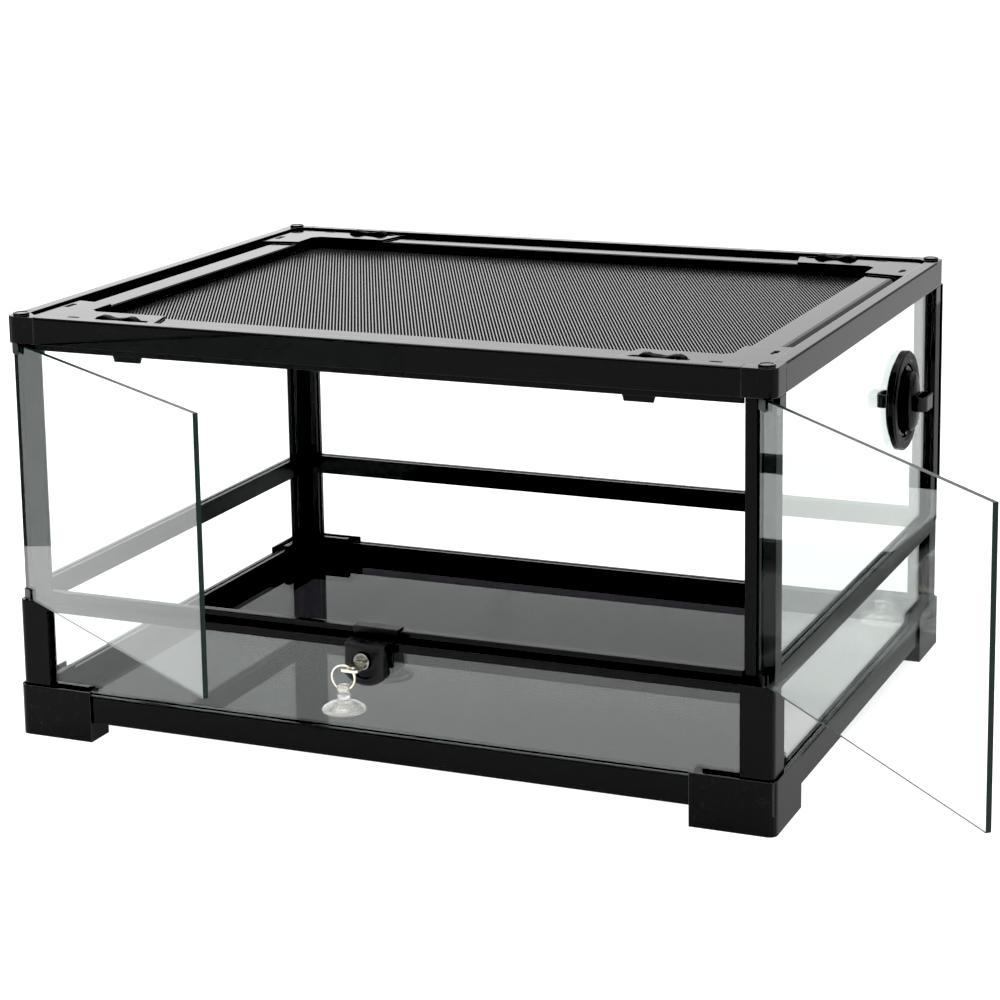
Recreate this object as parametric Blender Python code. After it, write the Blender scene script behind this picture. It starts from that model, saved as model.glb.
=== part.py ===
"""Glass terrarium with two hinged front doors, a lift-off screen lid, a key lock and a side port.

Metres, +Z up. The front faces -Y. The origin is the middle of the front left foot's corner block,
on the floor. The doors stand open, as the tank is shown.
"""

import math

import bmesh
import bpy

# Driving sizes of the tank
TANK_WIDTH = 0.615
TANK_DEPTH = 0.480
TANK_HEIGHT = 0.335
GLASS = 0.0040
FIT = 0.0003
ORIGIN_INSET = 0.012

# Feet
FOOT_LEG = 0.062
FOOT_WIDTH = 0.0235
FOOT_PROUD = 0.0020
FOOT_ROUND = 0.0060
FOOT_LIFT = 0.0155
FOOT_RISE = 0.0035

# Bottom rails
RAIL_HEIGHT = 0.0215
WALL_DEPTH = 0.0125
SLOT_FRONT = 0.0044
SLOT_DEPTH = 0.0080
BASE_LIP = 0.0220
BASE_LIP_THICK = 0.0025

# Lower posts, sill and belt rails
POST_LEG = 0.0250
POST_ROUND = 0.0050
POST_TOP = 0.1092
SKIRT_LEG = 0.0550
SKIRT_RISE = 0.0035
SILL_BOTTOM = 0.1025
SILL_TOP = 0.1190
BELT_SLOT = 0.0050
SILL_SLOT = 0.0040
UPSTAND_TOP = 0.1160
UPSTAND_FRONT = 0.0085
UPSTAND_BACK = 0.0160
LEDGE_GROOVE = 0.0020

# Upper posts
UPPER_LEG = 0.0250
UPPER_LEG_THICK = 0.0045
UPPER_SETBACK = 0.0105
GROOVE_WIDTH = 0.0070
GROOVE_DEEP = 0.0018
FRONT_GROOVE_AT = 0.0090
BACK_GROOVE_AT = 0.0045

# Top frame
TOP_FACE = 0.0210
RIM_WIDTH = 0.0110
LID_SEAT = 0.0170
SEAT_INNER = 0.0200
DOOR_LIP = 0.0060
LIP_FRONT = 0.0078
CORNER = 0.0250
CORNER_ROUND = 0.0080
CAP_RADIUS = 0.0062
CAP_HEIGHT = 0.0018
CAP_INSET = 0.0092
CATCH_WIDTH = 0.0250
CATCH_DROP = 0.0045
CATCH_FROM_SIDE = 0.1020

# Doors
PIVOT_IN = 0.0085
PIVOT_BACK = 0.0042
DOOR_HEEL = 0.0040
DOOR_GAP = 0.0020
PIN_RADIUS = 0.0015
PIN_LENGTH = 0.0050
PIN_HOLE = 0.0018
CLIP_WALL = 0.0010
CLIP_CAP = 0.0008
CLIP_LENGTH = 0.0100
CLIP_TALL = 0.0085
LEFT_OPEN = 33.7
RIGHT_OPEN = 133.6

# Lock
LOCK_X = 0.3057
LOCK_WIDTH = 0.0328
LOCK_TOP = 0.1100
LOCK_DROP = 0.0317
LOCK_ROUND = 0.0215
LOCK_FRONT = 0.0145
LOCK_REAR = 0.0037
LOCK_CHAMFER = 0.0026
LOCK_BASE_WIDTH = 0.0368
LOCK_BASE_THICK = 0.0034
LOCK_BASE_DROP = 0.0185
STRIP_THICK = 0.0008
SADDLE_FRONT = 0.0070
SADDLE_THICK = 0.0011
SADDLE_BACK_DROP = 0.0050
SADDLE_RIB = 0.0005
LOCK_TRAVEL = 0.0080
DOVETAIL_ROOT = 0.0040
DOVETAIL_TIP = 0.0055
BARREL_X = 0.3048
BARREL_Z = 0.0980
BARREL_RADIUS = 0.0064
BARREL_FRONT = 0.0170
BARREL_REAR = 0.0098
KEYWAY_WIDTH = 0.0062
KEYWAY_TALL = 0.0026
DISH_RADIUS = 0.0102
DISH_ASIDE = 0.0014
DISH_BELOW = 0.0032
MARK_WIDTH = 0.0045
MARK_TALL = 0.0014
MARK_ASIDE = 0.0085
MARK_ABOVE = 0.0064
KEY_THICK = 0.0020
KEY_NECK = 0.0205
KEY_END = 0.0395
BOW_LEFT = 0.2985
BOW_RIGHT = 0.3125
BOW_HOLE = 0.0027
BOW_HOLE_X = 0.3058

# Key ring and suction cups
RING_X = 0.2995
RING_BACK = 0.0350
RING_RADIUS = 0.0092
RING_WIRE = 0.0006
RING_OVER_KEY = 0.0016
CUP_RADIUS = 0.0164
CUP_HEIGHT = 0.0190
CUP_NECK = 0.0050
CUP_HANG = 0.0034
SPARE_CUP_FROM_RIGHT = 0.0430
SPARE_CUP_FROM_BACK = 0.0350

# Screen lid
LID_GAP = 0.0008
LID_RAIL = 0.0340
LID_FLANK = 0.0100
LID_TALL = 0.0132
PLATE_RISE = 0.0018
PLATE_LONG = 0.1220
PLATE_SHORT = 0.0850
RECESS_START = 0.0790
RECESS_LENGTH = 0.0350
RECESS_WIDTH = 0.0092
RECESS_IN = 0.0075
RECESS_DEEP = 0.0040
DIMPLE_STARTS = (0.0440, 0.0680)
DIMPLE_LENGTH = 0.0100
DIMPLE_WIDTH = 0.0044
DIMPLE_DEEP = 0.0009
NOTCH_START = 0.0560
NOTCH_END = 0.0700
LATCH_LENGTH = 0.0180
LATCH_TRAVEL = 0.0160
SCREEN_RISE = 0.0045
SCREEN_THICK = 0.0012
SCREEN_SLOT = 0.0030
SCREEN_WIRE = 0.0016
SCREEN_ROWS = 15
SCREEN_COLUMNS = 20

# Side port
PORT_FROM_FRONT = 0.3570
PORT_Z = 0.2385
PORT_RADIUS = 0.0405
PORT_HOLE = 0.0330
PORT_BORE = 0.0300
PORT_THICK = 0.0063
PORT_RIVETS = 14
STEM_RADIUS = 0.0055
STEM_INSIDE = 0.0060
KNOB_TALL = 0.0490
KNOB_WIDE = 0.0250
KNOB_BACK = 0.0018
KNOB_SHOULDER = 0.0102
KNOB_FRONT = 0.0154
LOOP_START = 0.0120
GRIP_REACH = 0.0245
GRIP_LONG = 0.0270
GRIP_TALL = 0.0115
GRIP_WALL = 0.0022
INNER_REACH = 0.0165
INNER_LONG = 0.0220
INNER_TALL = 0.0105
PLUG_LUG = 0.0075

# Places worked out from the sizes
LEFT = -ORIGIN_INSET
RIGHT = LEFT + TANK_WIDTH
FRONT = -ORIGIN_INSET
BACK = FRONT + TANK_DEPTH
RAIL_BOTTOM = FOOT_LIFT
RAIL_TOP = RAIL_BOTTOM + RAIL_HEIGHT
SLOT_BACK = SLOT_FRONT + GLASS + 2 * FIT
PANE_IN = SLOT_FRONT + FIT
TOP_BOTTOM = TANK_HEIGHT - TOP_FACE
SEAT_LEVEL = TANK_HEIGHT - LID_SEAT
BASE_GLASS_BOTTOM = RAIL_BOTTOM + BASE_LIP_THICK + FIT
BASE_GLASS_TOP = BASE_GLASS_BOTTOM + GLASS
DOOR_BOTTOM = POST_TOP + 2 * FIT + CLIP_CAP
DOOR_TOP = TOP_BOTTOM - 2 * FIT - CLIP_CAP
DOOR_REACH = TANK_WIDTH / 2 - PIVOT_IN - DOOR_GAP / 2


def make_material(name, colour, roughness, metallic=0.0, alpha=1.0, transmission=0.0):
    """One plain finish, with the piece's colour, gloss and metal value."""
    material = bpy.data.materials.new(name)
    material.use_nodes = True
    shader = material.node_tree.nodes["Principled BSDF"]
    shader.inputs["Base Color"].default_value = (*colour, 1.0)
    shader.inputs["Roughness"].default_value = roughness
    shader.inputs["Metallic"].default_value = metallic
    shader.inputs["Alpha"].default_value = alpha
    shader.inputs["Transmission Weight"].default_value = transmission
    return material


for old in list(bpy.data.objects):
    bpy.data.objects.remove(old, do_unlink=True)

BLACK = make_material("black_plastic", (0.012, 0.012, 0.013), 0.25)
SATIN = make_material("satin_black_plastic", (0.018, 0.018, 0.019), 0.45)
GLASS_CLEAR = make_material("glass", (0.90, 0.96, 0.94), 0.02, 0.0, 0.35, 0.9)
STEEL = make_material("bright_steel", (0.62, 0.60, 0.56), 0.25, 1.0)
DARK_METAL = make_material("dark_metal", (0.08, 0.08, 0.085), 0.35, 1.0)
CLEAR_RUBBER = make_material("clear_rubber", (0.92, 0.92, 0.90), 0.15, 0.0, 0.5, 0.8)
SCREEN_BLACK = make_material("screen_black", (0.02, 0.02, 0.02), 0.55)


def add_object(name, mesh, material=None, hidden=False):
    """Links a mesh as an object. A hidden one is a cutter."""
    obj = bpy.data.objects.new(name, mesh)
    bpy.context.scene.collection.objects.link(obj)
    if material:
        mesh.materials.append(material)
    if hidden:
        obj.hide_render = True
        obj.display_type = "WIRE"
    return obj


def mesh_from(name, build, smooth=None):
    """Makes a mesh with a builder that fills a bmesh, with its faces turned outwards."""
    work = bmesh.new()
    build(work)
    bmesh.ops.remove_doubles(work, verts=work.verts, dist=1e-7)
    bmesh.ops.recalc_face_normals(work, faces=work.faces)
    mesh = bpy.data.meshes.new(name)
    work.to_mesh(mesh)
    work.free()
    if smooth:
        mesh.shade_smooth()
        mesh.set_sharp_from_angle(angle=math.radians(smooth))
    return mesh


def arc(centre, radius, start, end, steps):
    """Points of an arc in degrees, ends included."""
    points = []
    for step in range(steps + 1):
        angle = math.radians(start + (end - start) * step / steps)
        points.append((centre[0] + radius * math.cos(angle), centre[1] + radius * math.sin(angle)))
    return points


def rounded_box(x0, y0, x1, y1, radius, steps=3):
    """Outline of a rectangle with round corners, anticlockwise."""
    return (
        arc((x1 - radius, y0 + radius), radius, -90, 0, steps)
        + arc((x1 - radius, y1 - radius), radius, 0, 90, steps)
        + arc((x0 + radius, y1 - radius), radius, 90, 180, steps)
        + arc((x0 + radius, y0 + radius), radius, 180, 270, steps)
    )


def prism(outline, low, high, axis="Z"):
    """A builder that extrudes an outline. Along X the outline is (y, z), and along Y it is (x, z)."""

    def place(point, level):
        if axis == "X":
            return (level, point[0], point[1])
        if axis == "Y":
            return (point[0], level, point[1])
        return (point[0], point[1], level)

    def build(work):
        bottom = [work.verts.new(place(point, low)) for point in outline]
        top = [work.verts.new(place(point, high)) for point in outline]
        work.faces.new(bottom)
        work.faces.new(top)
        for i in range(len(outline)):
            j = (i + 1) % len(outline)
            work.faces.new((bottom[i], bottom[j], top[j], top[i]))

    return build


def revolve(profile, segments, axis="Z"):
    """A builder that turns a closed (radius, height) profile about an axis through the origin."""

    def place(radius, height, angle):
        c, s = radius * math.cos(angle), radius * math.sin(angle)
        if axis == "X":
            return (height, c, s)
        if axis == "Y":
            return (c, height, s)
        return (c, s, height)

    def build(work):
        rings = []
        for radius, height in profile:
            if radius < 1e-6:
                rings.append([work.verts.new(place(0.0, height, 0.0))] * segments)
                continue
            rings.append(
                [work.verts.new(place(radius, height, math.tau * k / segments)) for k in range(segments)]
            )
        for i in range(len(profile)):
            first, second = rings[i], rings[(i + 1) % len(profile)]
            if profile[i][0] < 1e-6 and profile[(i + 1) % len(profile)][0] < 1e-6:
                continue
            for k in range(segments):
                m = (k + 1) % segments
                corners = []
                for vert in (first[k], first[m], second[m], second[k]):
                    if vert not in corners:
                        corners.append(vert)
                if len(corners) > 2:
                    work.faces.new(corners)

    return build


def box(x0, x1, y0, y1, z0, z1):
    """A builder for a plain block between two corners."""
    return prism([(x0, y0), (x1, y0), (x1, y1), (x0, y1)], z0, z1)


def boolean(obj, other, operation, label):
    """Adds an exact Boolean. The other object is hidden from the render."""
    modifier = obj.modifiers.new(label, "BOOLEAN")
    modifier.operation = operation
    modifier.solver = "EXACT"
    modifier.object = other


def helper(name, build, like=None):
    """A hidden cutter or joining block, placed as another object is."""
    obj = add_object(name, mesh_from(name, build), hidden=True)
    if like:
        obj.location = like.location
        obj.rotation_euler = like.rotation_euler
        obj.parent = like.parent
    return obj


def cut(obj, name, build):
    boolean(obj, helper(f"{obj.name}_{name}", build, obj), "DIFFERENCE", name)


def join(obj, name, build):
    boolean(obj, helper(f"{obj.name}_{name}", build, obj), "UNION", name)


# Each side's own frame: X runs along the side, Y points into the tank
SIDES = {
    "front": ((LEFT, FRONT), 0, TANK_WIDTH),
    "right": ((RIGHT, FRONT), 90, TANK_DEPTH),
    "back": ((RIGHT, BACK), 180, TANK_WIDTH),
    "left": ((LEFT, BACK), 270, TANK_DEPTH),
}
# Each corner in the same frame, as the start of a side
CORNERS = {"front_left": "front", "front_right": "right", "back_right": "back", "back_left": "left"}


def put_on_side(obj, side):
    (x, y), turn, _ = SIDES[side]
    obj.location = (x, y, 0)
    obj.rotation_euler = (0, 0, math.radians(turn))
    return obj


def side_rail(name, side, section, start, end, material):
    """An extrusion along one side, from a section in (inward, up)."""
    length = SIDES[side][2]
    mesh = mesh_from(name, prism(section, start, length - end, "X"))
    return put_on_side(add_object(name, mesh, material), side)


def corner_piece(name, corner, build, material, smooth=None):
    """A piece modelled at the front left corner and turned to another one."""
    return put_on_side(add_object(name, mesh_from(name, build, smooth), material), CORNERS[corner])


def mitred(section, length):
    """A builder for a rail whose ends are cut at 45 degrees to meet the next rail."""

    def build(work):
        first = [work.verts.new((p[0] + FIT, p[0], p[1])) for p in section]
        last = [work.verts.new((length - p[0] - FIT, p[0], p[1])) for p in section]
        work.faces.new(first)
        work.faces.new(last)
        for i in range(len(section)):
            j = (i + 1) % len(section)
            work.faces.new((first[i], first[j], last[j], last[i]))

    return build


def l_outline(near, leg, far, round_outer=0.0, steps=4):
    """An L with its corner at (near, near) and both legs ending at leg. far is the inner side."""
    corner = (
        arc((near + round_outer, near + round_outer), round_outer, 180, 270, steps)
        if round_outer
        else [(near, near)]
    )
    return corner + [(leg, near), (leg, far), (far, far), (far, leg), (near, leg)]


# Base: feet, bottom rails, base glass


def make_foot(corner):
    """A moulded foot: an L block under the rails and a thin wall up their outer side."""
    height = RAIL_TOP + FOOT_RISE
    outline = l_outline(-FOOT_PROUD, FOOT_LEG, FOOT_WIDTH, FOOT_ROUND)
    foot = corner_piece(f"foot_{corner}", corner, prism(outline, 0, height), BLACK, 35)
    far = FOOT_LEG + 0.02
    cut(foot, "rail_seat", box(-FIT, far, -FIT, far, RAIL_BOTTOM - FIT, height + 0.01))
    pocket_start, pocket_end = FOOT_WIDTH + 0.005, FOOT_LEG - 0.004
    wall = 0.003
    side = (-FOOT_PROUD + wall, FOOT_WIDTH - wall)
    roof = RAIL_BOTTOM - FIT - wall
    cut(foot, "pocket_x", box(pocket_start, pocket_end, *side, -0.01, roof))
    cut(foot, "pocket_y", box(*side, pocket_start, pocket_end, -0.01, roof))
    return foot


def bottom_rail_section():
    low, top, round_edge = RAIL_BOTTOM, RAIL_TOP, 0.0010
    return [
        (0, low),
        (BASE_LIP, low),
        (BASE_LIP, low + BASE_LIP_THICK),
        (WALL_DEPTH, low + BASE_LIP_THICK),
        (WALL_DEPTH, top),
        (SLOT_BACK, top),
        (SLOT_BACK, top - SLOT_DEPTH),
        (SLOT_FRONT, top - SLOT_DEPTH),
        (SLOT_FRONT, top),
        (round_edge, top),
        (round_edge * 0.3, top - round_edge * 0.3),
        (0, top - round_edge),
    ]


for corner in CORNERS:
    make_foot(corner)
for side in SIDES:
    rail = add_object(
        f"bottom_rail_{side}",
        mesh_from(f"bottom_rail_{side}", mitred(bottom_rail_section(), SIDES[side][2])),
        BLACK,
    )
    put_on_side(rail, side)

base_inset = WALL_DEPTH + FIT
base_glass = add_object(
    "base_glass",
    mesh_from(
        "base_glass",
        prism(
            [
                (LEFT + base_inset, FRONT + base_inset),
                (RIGHT - base_inset, FRONT + base_inset),
                (RIGHT - base_inset, BACK - base_inset),
                (LEFT + base_inset, BACK - base_inset),
            ],
            BASE_GLASS_BOTTOM,
            BASE_GLASS_TOP,
        ),
    ),
    GLASS_CLEAR,
)

# Lower posts, low panes, sill and belt rails


def post_outline(leg, outer_round, groove_at=None):
    """An L post with a pane slot in the end of each leg, and a groove in each outer face if asked."""
    wall = WALL_DEPTH
    slot = leg - SLOT_DEPTH + 0.001
    x_side = [(leg, 0), (leg, SLOT_FRONT), (slot, SLOT_FRONT), (slot, SLOT_BACK), (leg, SLOT_BACK), (leg, wall)]
    if groove_at is not None:
        end = groove_at + GROOVE_WIDTH
        x_side = [
            (groove_at, 0),
            (groove_at, GROOVE_DEEP),
            (end, GROOVE_DEEP),
            (end, 0),
        ] + x_side
    y_side = [(y, x) for x, y in reversed(x_side)]
    return arc((outer_round, outer_round), outer_round, 180, 270, 4) + x_side + [(wall, wall)] + y_side


for corner in CORNERS:
    post = corner_piece(
        f"lower_post_{corner}",
        corner,
        prism(post_outline(POST_LEG, POST_ROUND), RAIL_TOP + FIT, POST_TOP),
        BLACK,
        35,
    )
    skirt_near, skirt_far = SLOT_BACK + 0.0004, WALL_DEPTH + 0.002
    skirt_low = RAIL_TOP + FIT + 0.0002
    join(post, "skirt", prism(l_outline(skirt_near, SKIRT_LEG, skirt_far), skirt_low, skirt_low + SKIRT_RISE))
    if corner.startswith("front"):
        # The lower hinge pin turns in this hole, in the post's own frame
        at = (PIVOT_IN, PIVOT_BACK) if corner == "front_left" else (PIVOT_BACK, PIVOT_IN)
        hole = arc(at, PIN_HOLE, 0, 360 - 30, 11)
        cut(post, "pin_hole", prism(hole, POST_TOP - PIN_LENGTH - FIT, POST_TOP + 0.01))


def make_pane(name, side, start, end, low, top, hole=None):
    """A glass pane along one side, standing in the rails' slots."""
    length = SIDES[side][2]
    outline = [(start, low), (length - end, low), (length - end, top), (start, top)]
    pane = add_object(name, mesh_from(name, prism(outline, PANE_IN, PANE_IN + GLASS, "Y")), GLASS_CLEAR)
    put_on_side(pane, side)
    if hole:
        (x, z), radius = hole
        cut(pane, "port_hole", prism(arc((x, z), radius, 0, 360 - 11.25, 31), PANE_IN - 0.01, PANE_IN + 0.02, "Y"))
    return pane


pane_end = POST_LEG - SLOT_DEPTH + 0.001 + FIT
low_bottom = RAIL_TOP - SLOT_DEPTH + FIT
for side in SIDES:
    slot = SILL_SLOT if side == "front" else BELT_SLOT
    name = "front_window" if side == "front" else f"low_pane_{side}"
    make_pane(name, side, pane_end, pane_end, low_bottom, SILL_BOTTOM + slot - FIT)

sill_section = [
    (0, SILL_BOTTOM),
    (SLOT_FRONT, SILL_BOTTOM),
    (SLOT_FRONT, SILL_BOTTOM + SILL_SLOT),
    (SLOT_BACK, SILL_BOTTOM + SILL_SLOT),
    (SLOT_BACK, SILL_BOTTOM),
    (UPSTAND_BACK, SILL_BOTTOM),
    (UPSTAND_BACK, UPSTAND_TOP),
    (UPSTAND_FRONT + 0.0010, UPSTAND_TOP),
    (UPSTAND_FRONT, UPSTAND_TOP - 0.0010),
    (UPSTAND_FRONT, POST_TOP - LEDGE_GROOVE),
    (UPSTAND_FRONT - LEDGE_GROOVE, POST_TOP - LEDGE_GROOVE),
    (UPSTAND_FRONT - LEDGE_GROOVE, POST_TOP),
    (0.0008, POST_TOP),
    (0, POST_TOP - 0.0008),
]
side_rail("front_sill", "front", sill_section, POST_LEG + FIT, POST_LEG + FIT, BLACK)

belt_section = [
    (0, SILL_BOTTOM),
    (SLOT_FRONT, SILL_BOTTOM),
    (SLOT_FRONT, SILL_BOTTOM + BELT_SLOT),
    (SLOT_BACK, SILL_BOTTOM + BELT_SLOT),
    (SLOT_BACK, SILL_BOTTOM),
    (WALL_DEPTH, SILL_BOTTOM),
    (WALL_DEPTH, SILL_TOP),
    (SLOT_BACK, SILL_TOP),
    (SLOT_BACK, SILL_TOP - BELT_SLOT),
    (SLOT_FRONT, SILL_TOP - BELT_SLOT),
    (SLOT_FRONT, SILL_TOP),
    (0.0008, SILL_TOP),
    (0, SILL_TOP - 0.0008),
]
for side in ("right", "back", "left"):
    side_rail(f"belt_rail_{side}", side, belt_section, POST_LEG + FIT, POST_LEG + FIT, BLACK)

# Upper posts and panes

UPPER_BOTTOM = POST_TOP + FIT
UPPER_TOP = TOP_BOTTOM - FIT


def front_post_outline():
    """Front left upper post: a front leg behind the door, and a side leg that holds the side pane."""
    front, leg = UPPER_SETBACK, POST_LEG
    slot = leg - SLOT_DEPTH + 0.001
    return [
        (0, front),
        (FRONT_GROOVE_AT, front),
        (FRONT_GROOVE_AT, front + GROOVE_DEEP),
        (FRONT_GROOVE_AT + GROOVE_WIDTH, front + GROOVE_DEEP),
        (FRONT_GROOVE_AT + GROOVE_WIDTH, front),
        (UPPER_LEG, front),
        (UPPER_LEG, front + UPPER_LEG_THICK),
        (WALL_DEPTH, front + UPPER_LEG_THICK),
        (WALL_DEPTH, leg),
        (SLOT_BACK, leg),
        (SLOT_BACK, slot),
        (SLOT_FRONT, slot),
        (SLOT_FRONT, leg),
        (0, leg),
    ]


for corner in CORNERS:
    name = f"upper_post_{corner}"
    if corner.startswith("front"):
        outline = front_post_outline()
        if corner == "front_right":
            outline = [(y, x) for x, y in outline]
        corner_piece(name, corner, prism(outline, UPPER_BOTTOM, UPPER_TOP), BLACK)
    else:
        outline = post_outline(UPPER_LEG, 0.002, BACK_GROOVE_AT)
        corner_piece(name, corner, prism(outline, UPPER_BOTTOM, UPPER_TOP), BLACK, 35)

upper_low = SILL_TOP - BELT_SLOT + FIT
upper_high = TOP_BOTTOM + SLOT_DEPTH - FIT
for side in ("right", "back", "left"):
    hole = ((PORT_FROM_FRONT, PORT_Z), PORT_HOLE) if side == "right" else None
    make_pane(f"upper_pane_{side}", side, pane_end, pane_end, upper_low, upper_high, hole)

# Top frame


def top_section(is_front):
    """The top rail: rim, lid seat, and either a pane slot or the doors' stop lip."""
    low = TOP_BOTTOM
    slot = [
        (SLOT_FRONT, low),
        (SLOT_FRONT, low + SLOT_DEPTH),
        (SLOT_BACK, low + SLOT_DEPTH),
        (SLOT_BACK, low),
    ]
    lip = [
        (LIP_FRONT, low),
        (LIP_FRONT, low - DOOR_LIP),
        (UPPER_SETBACK, low - DOOR_LIP),
        (UPPER_SETBACK, low),
    ]
    return (
        [(0, low)]
        + (lip if is_front else slot)
        + [
            (SEAT_INNER, low),
            (SEAT_INNER, SEAT_LEVEL),
            (RIM_WIDTH, SEAT_LEVEL),
            (RIM_WIDTH, TANK_HEIGHT - 0.0004),
            (RIM_WIDTH - 0.0004, TANK_HEIGHT),
            (0.0012, TANK_HEIGHT),
            (0.0004, TANK_HEIGHT - 0.0004),
            (0, TANK_HEIGHT - 0.0012),
        ]
    )


for side in SIDES:
    rail = side_rail(f"top_rail_{side}", side, top_section(side == "front"), CORNER + FIT, CORNER + FIT, BLACK)
    if side == "front":
        for place, middle in (("left", CATCH_FROM_SIDE), ("right", TANK_WIDTH - CATCH_FROM_SIDE)):
            half, slant = CATCH_WIDTH / 2, 0.0016
            lip_low = TOP_BOTTOM - DOOR_LIP
            outline = [
                (middle - half + slant, lip_low - CATCH_DROP),
                (middle + half - slant, lip_low - CATCH_DROP),
                (middle + half, lip_low + 0.0010),
                (middle - half, lip_low + 0.0010),
            ]
            join(rail, f"door_catch_{place}", prism(outline, LIP_FRONT + 0.0002, UPPER_SETBACK - 0.0002, "Y"))


def make_top_corner(corner):
    """A moulded corner that joins two top rails, with the lid's seat and a round cap on top."""
    notch = [(CORNER, 0), (CORNER, SEAT_INNER), (SEAT_INNER, SEAT_INNER), (SEAT_INNER, CORNER), (0, CORNER)]
    outline = arc((CORNER_ROUND, CORNER_ROUND), CORNER_ROUND, 180, 270, 6) + notch
    piece = corner_piece(f"top_corner_{corner}", corner, prism(outline, TOP_BOTTOM, TANK_HEIGHT), BLACK, 35)
    web, far = SEAT_INNER - 0.0010, CORNER + 0.010
    seat = [(RIM_WIDTH, web), (web, RIM_WIDTH), (far, RIM_WIDTH), (far, far), (RIM_WIDTH, far)]
    cut(piece, "lid_seat", prism(seat, SEAT_LEVEL, TANK_HEIGHT + 0.01))
    slot_start = POST_LEG - SLOT_DEPTH + 0.001
    slot_top = TOP_BOTTOM + SLOT_DEPTH
    if corner != "front_left":
        cut(piece, "slot_x", box(slot_start, far, SLOT_FRONT, SLOT_BACK, TOP_BOTTOM - 0.01, slot_top))
    if corner != "front_right":
        cut(piece, "slot_y", box(SLOT_FRONT, SLOT_BACK, slot_start, far, TOP_BOTTOM - 0.01, slot_top))
    if corner.startswith("front"):
        at = (PIVOT_IN, PIVOT_BACK) if corner == "front_left" else (PIVOT_BACK, PIVOT_IN)
        hole = arc(at, PIN_HOLE, 0, 360 - 30, 11)
        cut(piece, "pin_hole", prism(hole, TOP_BOTTOM - 0.01, TOP_BOTTOM + PIN_LENGTH + FIT))
    cap = arc((CAP_INSET, CAP_INSET), CAP_RADIUS, 0, 360 - 15, 23)
    join(piece, "cap", prism(cap, TANK_HEIGHT - 0.0010, TANK_HEIGHT + CAP_HEIGHT))
    groove = arc((CAP_INSET, CAP_INSET), CAP_RADIUS - 0.0012, 0, 360 - 22.5, 15)
    cut(piece, "cap_dish", prism(groove, TANK_HEIGHT + CAP_HEIGHT - 0.0004, TANK_HEIGHT + 0.01))


for corner in CORNERS:
    make_top_corner(corner)

# Doors, open as shown, each modelled from its hinge axis


def make_door(side, x, turn):
    """A glass leaf with a hinge clip on its upper and its lower corner."""
    outline = [
        (-DOOR_HEEL, -GLASS / 2),
        (DOOR_REACH, -GLASS / 2),
        (DOOR_REACH, GLASS / 2),
        (-DOOR_HEEL, GLASS / 2),
    ]
    place = ((x, FRONT + PIVOT_BACK, 0), (0, 0, math.radians(turn)))
    pane = add_object(f"{side}_door", mesh_from(f"{side}_door", prism(outline, DOOR_BOTTOM, DOOR_TOP)), GLASS_CLEAR)
    pane.location, pane.rotation_euler = place
    inner, outer = GLASS / 2 + FIT, GLASS / 2 + FIT + CLIP_WALL
    for level, edge, up in (("upper", DOOR_TOP, 1), ("lower", DOOR_BOTTOM, -1)):
        roof = edge + up * (FIT + CLIP_CAP)
        end = roof - up * CLIP_TALL
        section = [
            (-outer, roof),
            (-outer, end),
            (-inner, end),
            (-inner, edge + up * FIT),
            (inner, edge + up * FIT),
            (inner, end),
            (outer, end),
            (outer, roof),
        ]
        name = f"{side}_hinge_{level}"
        start = -DOOR_HEEL - 0.0005
        clip = add_object(name, mesh_from(name, prism(section, start, start + CLIP_LENGTH, "X")), DARK_METAL)
        clip.location, clip.rotation_euler = place
        pin = arc((0, 0), PIN_RADIUS, 0, 360 - 30, 11)
        ends = sorted((roof - up * 0.0005, roof + up * (FIT + PIN_LENGTH)))
        join(clip, "pin", prism(pin, *ends))


make_door("left", LEFT + PIVOT_IN, -LEFT_OPEN)
make_door("right", RIGHT - PIVOT_IN, 180 + RIGHT_OPEN)

# Lock


def lock_outline(inset, top_extra=0.0):
    """The sliding shield seen from the front: straight sides and a round bottom."""
    half = LOCK_WIDTH / 2 - inset
    radius = LOCK_ROUND - inset
    centre_z = LOCK_TOP - LOCK_DROP + LOCK_ROUND
    angle = math.degrees(math.asin(half / radius))
    curve = arc((LEFT + LOCK_X, centre_z), radius, -90 - angle, -90 + angle, 12)
    top = LOCK_TOP - inset + top_extra
    return curve + [(LEFT + LOCK_X + half, top), (LEFT + LOCK_X - half, top)]


def stacked(layers):
    """A builder that joins outlines of equal length at different Y levels."""

    def build(work):
        rings = [[work.verts.new((p[0], level, p[1])) for p in outline] for outline, level in layers]
        work.faces.new(rings[0])
        work.faces.new(rings[-1])
        for first, second in zip(rings, rings[1:]):
            for i in range(len(first)):
                j = (i + 1) % len(first)
                work.faces.new((first[i], first[j], second[j], second[i]))

    return build


def dovetail(spare, near, far):
    """Outline of the lock's vertical guide, wider away from the sill."""
    x = LEFT + LOCK_X
    root, tip = DOVETAIL_ROOT + spare, DOVETAIL_TIP + spare
    return [(x - root, near), (x + root, near), (x + tip, far), (x - tip, far)]


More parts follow.
